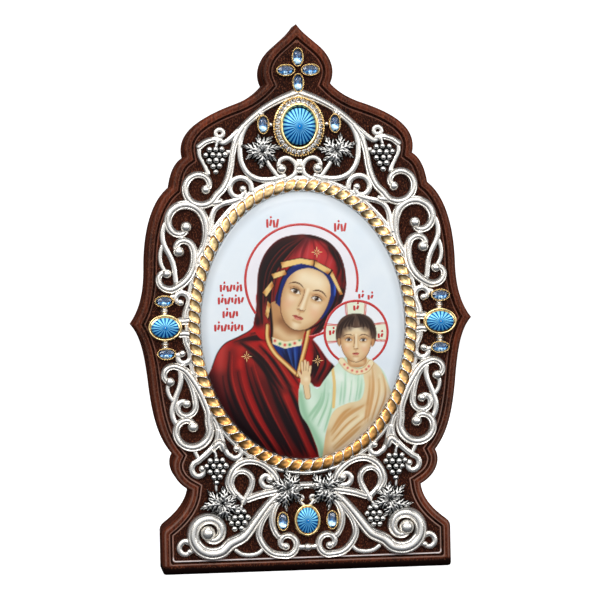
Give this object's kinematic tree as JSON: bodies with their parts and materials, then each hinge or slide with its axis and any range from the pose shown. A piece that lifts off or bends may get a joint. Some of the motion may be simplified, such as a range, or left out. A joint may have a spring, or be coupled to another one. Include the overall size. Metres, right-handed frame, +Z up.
{
  "type": "tabletop icon",
  "caption": "Tabletop icon: a moulded wooden board with a foot, faced with an oval enamel plate, a gilt rope border, silver scrollwork, grapes, vine leaves and set blue stones.",
  "frame": {"origin": "middle of the foot's flat underside, half way through the board's thickness", "axes": "+Z up, from the foot to the apex; -Y out of the decorated front; +X to the right as seen from the front"},
  "size_m": [0.1094, 0.0211, 0.175],
  "materials": {
    "stained_wood": "dark red-brown stained and lacquered wood, semi-gloss",
    "white_enamel": "bluish white vitreous enamel with a painted miniature, glossy",
    "polished_silver": "polished cast silver, soft grey in the recesses",
    "blackened_silver": "cast silver, blackened in the recesses and rubbed bright on top",
    "gilt": "gilded silver, light yellow, bright",
    "blue_enamel": "translucent blue enamel over engraved rays, glossy",
    "blue_topaz": "faceted pale blue stone, clear",
    "clear_stone": "small faceted colourless stone, clear"
  },
  "bodies": {
    "root": {"base_grapes_left": "blackened_silver", "base_grapes_right": "blackened_silver", "board": "stained_wood", "bottom_cabochon": "blue_enamel", "bottom_setting": "gilt", "centre_leaf_left": "blackened_silver", "centre_leaf_right": "blackened_silver", "cross_bottom_bezel": "gilt", "cross_bottom_stone": "blue_topaz", "cross_left_bezel": "gilt", "cross_left_stone": "blue_topaz", "cross_right_bezel": "gilt", "cross_right_stone": "blue_topaz", "cross_top_bezel": "gilt", "cross_top_stone": "blue_topaz", "enamel_plate": "white_enamel", "filigree": "polished_silver", "flank_left_bezel": "gilt", "flank_left_stone": "blue_topaz", "flank_right_bezel": "gilt", "flank_right_stone": "blue_topaz", "foot_left_bezel": "gilt", "foot_left_stone": "blue_topaz", "foot_right_bezel": "gilt", "foot_right_stone": "blue_topaz", "left_cabochon": "blue_enamel", "left_setting": "gilt", "lower_leaf_left": "blackened_silver", "lower_leaf_right": "blackened_silver", "right_cabochon": "blue_enamel", "right_setting": "gilt", "rope_border": "gilt", "side_grapes_left": "blackened_silver", "side_grapes_right": "blackened_silver", "side_lower_left_bezel": "gilt", "side_lower_left_stone": "blue_topaz", "side_lower_right_bezel": "gilt", "side_lower_right_stone": "blue_topaz", "side_upper_left_bezel": "gilt", "side_upper_left_stone": "blue_topaz", "side_upper_right_bezel": "gilt", "side_upper_right_stone": "blue_topaz", "top_cabochon": "blue_enamel", "top_setting": "gilt", "upper_grapes_left": "blackened_silver", "upper_grapes_right": "blackened_silver", "upper_leaf_left": "blackened_silver", "upper_leaf_right": "blackened_silver"}
  },
  "joints": []
}
